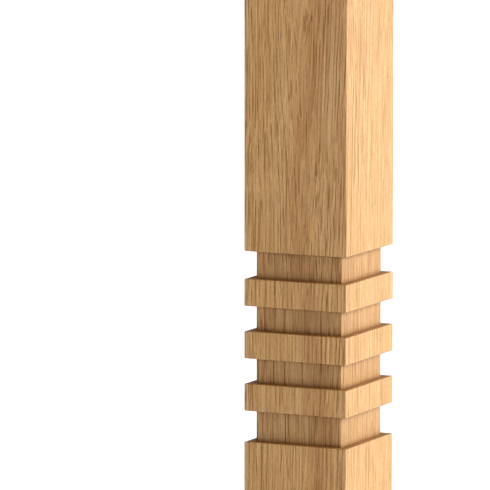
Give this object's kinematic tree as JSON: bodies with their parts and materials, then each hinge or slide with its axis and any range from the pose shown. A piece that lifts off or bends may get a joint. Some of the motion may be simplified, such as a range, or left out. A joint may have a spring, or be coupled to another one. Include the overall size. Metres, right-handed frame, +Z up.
{
  "type": "wooden baluster",
  "caption": "Square solid-oak stair baluster with a plain shaft, plain end blocks and a band of crisp square rings between sawn necks near each end.",
  "frame": {"origin": "middle of the underside of the foot block", "axes": "+Z up along the bar, from the foot to the head; the four long faces look along +X, -X, +Y and -Y"},
  "size_m": [0.04, 0.04, 1],
  "materials": {
    "oak": "planed oak with a thin matt oil or clear lacquer, grain along the bar, end grain on the shoulders and ends"
  },
  "bodies": {
    "root": {"baluster": "oak"}
  },
  "joints": []
}
